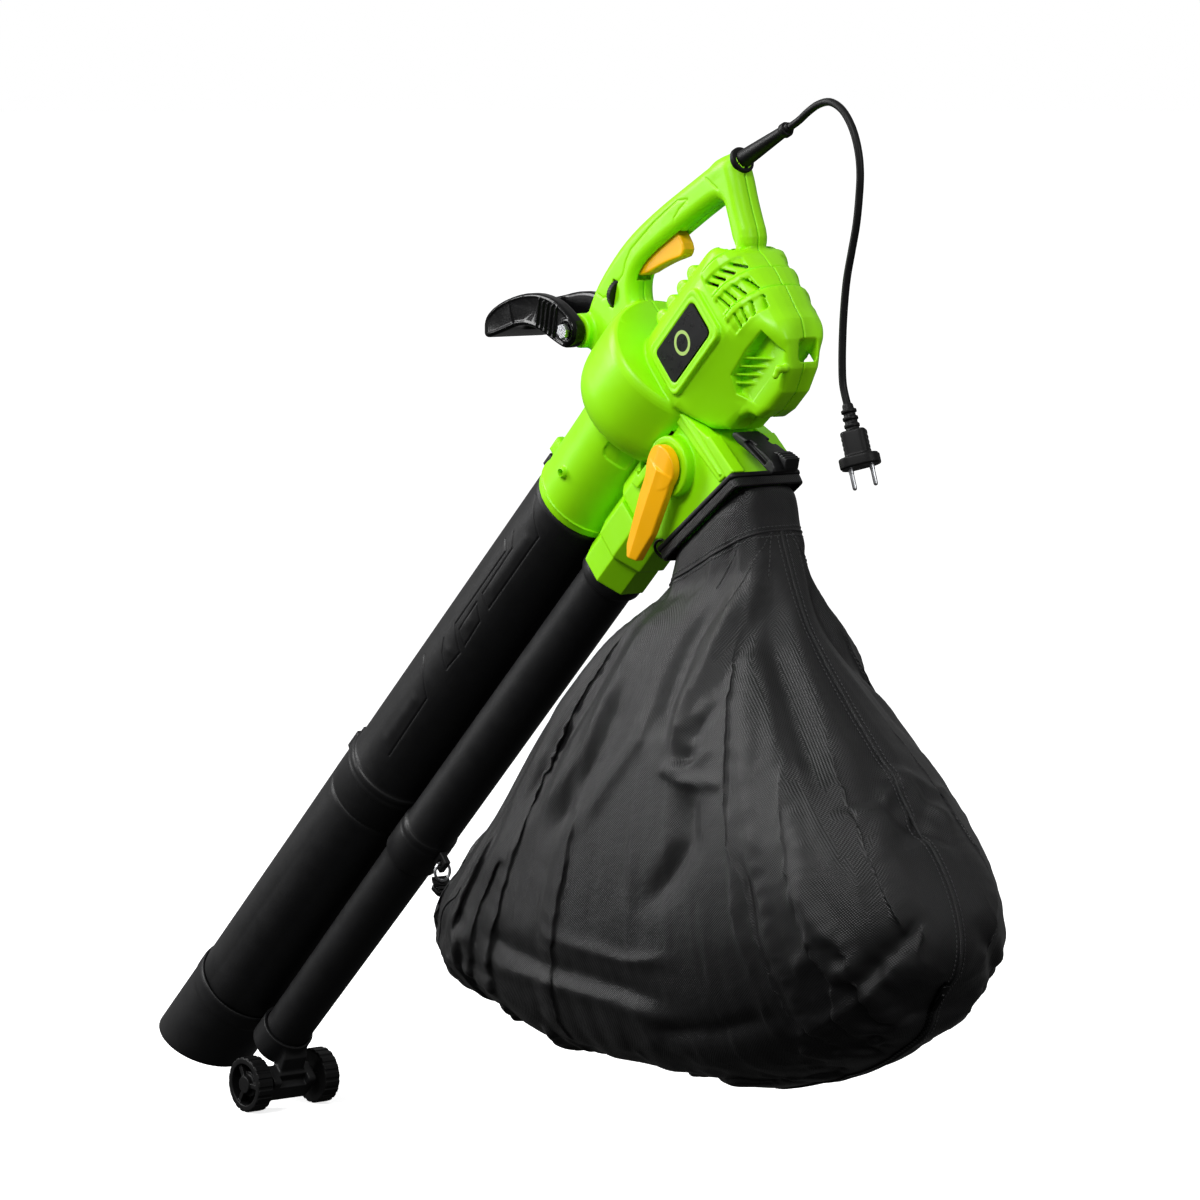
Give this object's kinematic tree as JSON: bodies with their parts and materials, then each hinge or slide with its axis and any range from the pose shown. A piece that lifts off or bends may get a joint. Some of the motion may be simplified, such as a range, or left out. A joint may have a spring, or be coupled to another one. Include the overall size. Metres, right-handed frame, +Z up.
{
  "type": "leaf blower vacuum",
  "caption": "Mains electric garden blower and vacuum with a suction tube, a parallel blow tube on guide wheels, a selector lever, a bail front handle and a fabric collecting bag.",
  "frame": {"origin": "centre of the rear hand grip, where the tool is held", "axes": "+X forward towards the suction mouth, +Y to the left of the person holding it, +Z up; the tubes slope down forward at 43.3 degrees and the bag hangs"},
  "size_m": [1.2227, 0.28, 1.0268],
  "materials": {
    "green_plastic": "satin moulded lime green",
    "black_plastic": "fine textured black",
    "gloss_black": "polished black",
    "orange_plastic": "satin orange",
    "black_rubber": "soft black",
    "steel": "zinc or nickel plated",
    "copper": "copper",
    "laminations": "varnished laminations",
    "bag_fabric": "coated black woven polyester",
    "circuit_board": "lacquered circuit board"
  },
  "bodies": {
    "chassis": {"housing_left": "green_plastic", "housing_right": "green_plastic", "label_plate": "gloss_black", "outlet_housing": "green_plastic", "blow_socket": "green_plastic", "suction_tube_upper": "black_plastic", "suction_tube_lower": "black_plastic", "suction_nozzle": "black_plastic", "blow_tube_upper": "black_plastic", "blow_tube_lower": "black_plastic", "wheel_bracket": "black_plastic", "wheel_axle": "steel", "handle_bolt": "steel", "handle_nut": "steel", "switch_body": "black_plastic", "speed_board": "circuit_board", "strain_relief": "black_rubber", "cord": "black_rubber", "plug_body": "black_rubber", "plug_pin_a": "steel", "plug_pin_b": "steel", "bag": "bag_fabric", "bag_frame": "black_plastic", "bearing_front": "steel", "bearing_rear": "steel", "stator": "laminations", "field_winding": "copper", "brush_left": "black_plastic", "brush_right": "black_plastic", "screw_handle": "steel", "screw_post": "steel"},
    "front_handle": {"front_handle": "gloss_black"},
    "trigger": {"trigger": "orange_plastic"},
    "dial": {"speed_dial": "black_plastic"},
    "selector": {"selector_lever": "orange_plastic", "selector_shaft": "steel", "diverter_flap": "black_plastic"},
    "wheel_l": {"wheel_left": "black_rubber"},
    "wheel_r": {"wheel_right": "black_rubber"},
    "rotor": {"impeller": "orange_plastic", "impeller_nut": "steel", "motor_shaft": "steel", "cooling_fan": "black_plastic", "armature": "laminations", "commutator": "copper"},
    "latch": {"bag_latch": "black_plastic", "latch_button": "black_plastic"},
    "hook": {"strap_hook": "steel"}
  },
  "joints": [
    {"name": "front_handle_pivot", "type": "hinge", "parent": "chassis", "child": "front_handle", "pos_m": [0.11203, 0, -0.1042], "axis": [0, 1, 0], "range_deg": [-60, 38]},
    {"name": "trigger_pull", "type": "hinge", "parent": "chassis", "child": "trigger", "pos_m": [0.04735, 0, -0.04599], "axis": [0, 1, 0], "range_deg": [0, 5], "stiffness_Nm_per_rad": 1.2, "springref_deg": -5.73},
    {"name": "speed_dial_turn", "type": "hinge", "parent": "chassis", "child": "dial", "pos_m": [0.06995, 0.008, -0.06867], "axis": [0.9724, 0, 0.2334], "range_deg": [-120, 120]},
    {"name": "selector_turn", "type": "hinge", "parent": "chassis", "child": "selector", "pos_m": [-0.0437, 0, -0.21989], "axis": [0, 1, 0], "range_deg": [0, 40]},
    {"name": "wheel_left_spin", "type": "hinge", "parent": "chassis", "child": "wheel_l", "pos_m": [0.62973, 0.041, -0.8861], "axis": [0, 1, 0], "continuous": true},
    {"name": "wheel_right_spin", "type": "hinge", "parent": "chassis", "child": "wheel_r", "pos_m": [0.62973, -0.041, -0.8861], "axis": [0, 1, 0], "continuous": true},
    {"name": "rotor_spin", "type": "hinge", "parent": "chassis", "child": "rotor", "pos_m": [-0.04359, 0, -0.10458], "axis": [0.7278, 0, -0.6858], "continuous": true},
    {"name": "latch_release", "type": "hinge", "parent": "chassis", "child": "latch", "pos_m": [-0.14453, 0, -0.20732], "axis": [0, 1, 0], "range_deg": [-8, 0], "stiffness_Nm_per_rad": 0.6, "springref_deg": 8.59},
    {"name": "strap_hook_swing", "type": "hinge", "parent": "chassis", "child": "hook", "pos_m": [0.35797, 0, -0.63207], "axis": [0, 1, 0], "range_deg": [-50, 50]}
  ]
}
